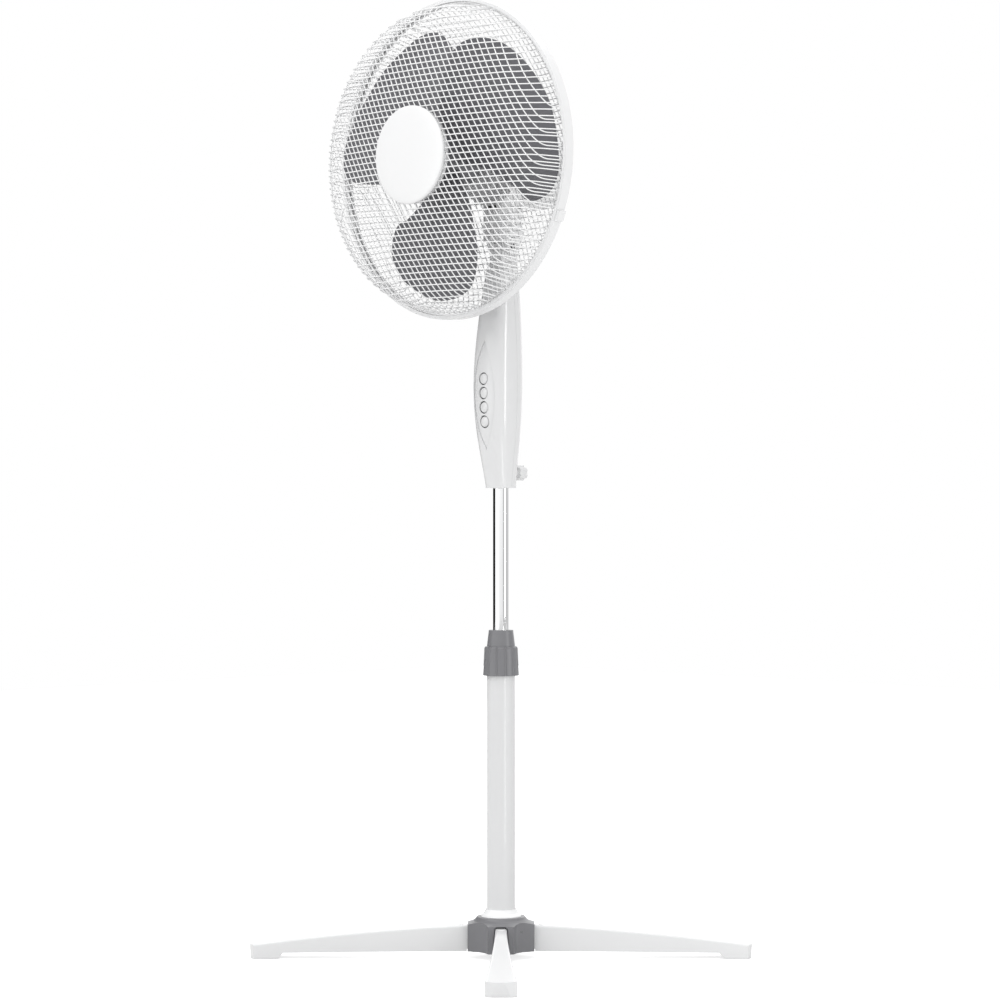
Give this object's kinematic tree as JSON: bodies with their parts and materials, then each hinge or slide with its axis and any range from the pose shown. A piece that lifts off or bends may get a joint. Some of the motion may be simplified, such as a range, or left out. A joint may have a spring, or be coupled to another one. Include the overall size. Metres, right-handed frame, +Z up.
{
  "type": "pedestal fan",
  "caption": "Pedestal fan on a cross-shaped stand, with telescopic pole, push-button control body, tilting and oscillating caged head.",
  "frame": {"origin": "on the floor, under the pole's axis", "axes": "+Z up along the pole, -Y the way the fan blows, +X to the right seen from the front"},
  "size_m": [0.4832, 0.4832, 1.2415],
  "materials": {
    "white_shell": "glossy moulded",
    "white_trim": "glossy moulded",
    "grey_plastic": "fine satin",
    "blade_plastic": "satin",
    "chrome_plate": "mirror plated",
    "white_enamel": "gloss powder coat",
    "zinc_steel": "zinc plated",
    "natural_nylon": "plain",
    "black_rubber": "matt",
    "cast_alloy": "as cast",
    "core_steel": "varnished laminations",
    "copper_wire": "enamelled copper",
    "bearing_bronze": "sintered",
    "black_plastic": "plain"
  },
  "bodies": {
    "stand": {"leg_front_left": "white_shell", "leg_front_right": "white_shell", "leg_rear_left": "white_shell", "leg_rear_right": "white_shell", "foot_pads": "black_rubber", "base_hub": "grey_plastic", "base_plate": "zinc_steel", "base_screws": "zinc_steel", "tube_socket": "zinc_steel", "base_trim_ring": "white_trim", "outer_tube": "white_enamel", "tube_collet": "natural_nylon"},
    "lock_nut": {"height_lock_nut": "grey_plastic"},
    "pole_slider": {"pole_guide_bush": "natural_nylon"},
    "column": {"inner_pole": "chrome_plate", "control_front_shell": "white_shell", "control_rear_shell": "white_shell", "shell_screws": "zinc_steel", "button_panel": "white_trim", "switch_block": "natural_nylon", "terminal_block": "natural_nylon", "pole_head_socket": "natural_nylon", "cord_inlet_grommet": "black_rubber", "tilt_base": "zinc_steel"},
    "off_key": {"button_off": "white_trim"},
    "low_key": {"button_low": "white_trim"},
    "medium_key": {"button_medium": "white_trim"},
    "high_key": {"button_high": "white_trim"},
    "clamp_screw": {"clamp_thumb_screw": "white_shell"},
    "neck": {"tilt_bracket": "white_shell", "tilt_bolt": "black_plastic", "swivel_pin": "zinc_steel", "swivel_washer": "natural_nylon"},
    "head": {"motor_carrier": "cast_alloy", "front_end_shield": "cast_alloy", "rear_end_shield": "cast_alloy", "front_bearing": "bearing_bronze", "rear_bearing": "bearing_bronze", "stator_core": "core_steel", "stator_windings": "copper_wire", "capacitor": "black_plastic", "motor_front_cover": "white_shell", "motor_rear_cover": "white_shell", "housing_screws": "zinc_steel", "gearbox_case": "natural_nylon", "front_guard": "white_enamel", "rear_guard": "white_enamel", "guard_clamp_ring": "white_trim", "ring_latch": "white_trim", "rear_guard_nut": "white_trim", "front_cap": "white_trim"},
    "rotor": {"rotor_core": "core_steel", "motor_shaft": "zinc_steel", "impeller": "blade_plastic", "spinner_nut": "grey_plastic"},
    "gear_shaft": {"worm_wheel": "natural_nylon"},
    "knob": {"oscillation_knob": "white_trim"},
    "crank": {"crank_disc": "natural_nylon"},
    "link": {"crank_link": "zinc_steel"}
  },
  "joints": [
    {"name": "lock_nut_turn", "type": "hinge", "parent": "stand", "child": "lock_nut", "pos_m": [0, 0, 0.3984], "axis": [0, 0, 1], "range_deg": [0, 270]},
    {"name": "height_slide", "type": "slide", "parent": "stand", "child": "pole_slider", "axis": [0, 0, 1], "range_m": [-0.18, 0.02]},
    {"name": "column_turn", "type": "hinge", "parent": "pole_slider", "child": "column", "pos_m": [0, 0, 0.5], "axis": [0, 0, 1], "range_deg": [-180, 180]},
    {"name": "clamp_screw_turn", "type": "hinge", "parent": "column", "child": "clamp_screw", "pos_m": [0, 0.027, 0.633], "axis": [0, 1, 0], "range_deg": [0, 360]},
    {"name": "tilt", "type": "hinge", "parent": "column", "child": "neck", "pos_m": [0, 0.005, 0.9285], "axis": [1, 0, 0], "range_deg": [-20, 10]},
    {"name": "oscillate", "type": "hinge", "parent": "neck", "child": "head", "pos_m": [0, 0.005, 0.977], "axis": [0, 0, 1], "range_deg": [-40, 40]},
    {"name": "rotor_spin", "type": "hinge", "parent": "head", "child": "rotor", "pos_m": [0, 0, 1.0355], "axis": [0, 1, 0], "continuous": true},
    {"name": "worm_wheel_spin", "type": "hinge", "parent": "head", "child": "gear_shaft", "pos_m": [0.016, 0.058, 1.035], "axis": [0, 0, 1], "continuous": true},
    {"name": "oscillation_knob_pull", "type": "slide", "parent": "head", "child": "knob", "axis": [0, 0, 1], "range_m": [0, 0.008]},
    {"name": "crank_turn", "type": "hinge", "parent": "head", "child": "crank", "pos_m": [0.016, 0.058, 1.002], "axis": [0, 0, 1], "range_deg": [-61, 61]},
    {"name": "crank_link_turn", "type": "hinge", "parent": "crank", "child": "link", "pos_m": [0.028, 0.058, 0.996], "axis": [0, 0, 1], "range_deg": [-61, 61]},
    {"name": "off_key_press", "type": "slide", "parent": "column", "child": "off_key", "axis": [0, 1, 0], "range_m": [0, 0.004], "stiffness_N_per_m": 250, "springref_m": -0.002},
    {"name": "low_key_press", "type": "slide", "parent": "column", "child": "low_key", "axis": [0, 1, 0], "range_m": [0, 0.004], "stiffness_N_per_m": 250, "springref_m": -0.002},
    {"name": "medium_key_press", "type": "slide", "parent": "column", "child": "medium_key", "axis": [0, 1, 0], "range_m": [0, 0.004], "stiffness_N_per_m": 250, "springref_m": -0.002},
    {"name": "high_key_press", "type": "slide", "parent": "column", "child": "high_key", "axis": [0, 1, 0], "range_m": [0, 0.004], "stiffness_N_per_m": 250, "springref_m": -0.002}
  ],
  "couplings": [
    {"joint": "worm_wheel_spin", "follows": "rotor_spin", "ratio": 0.041667},
    {"joint": "crank_turn", "follows": "oscillate", "ratio": -1.5},
    {"joint": "crank_link_turn", "follows": "oscillate", "ratio": 1.5}
  ]
}
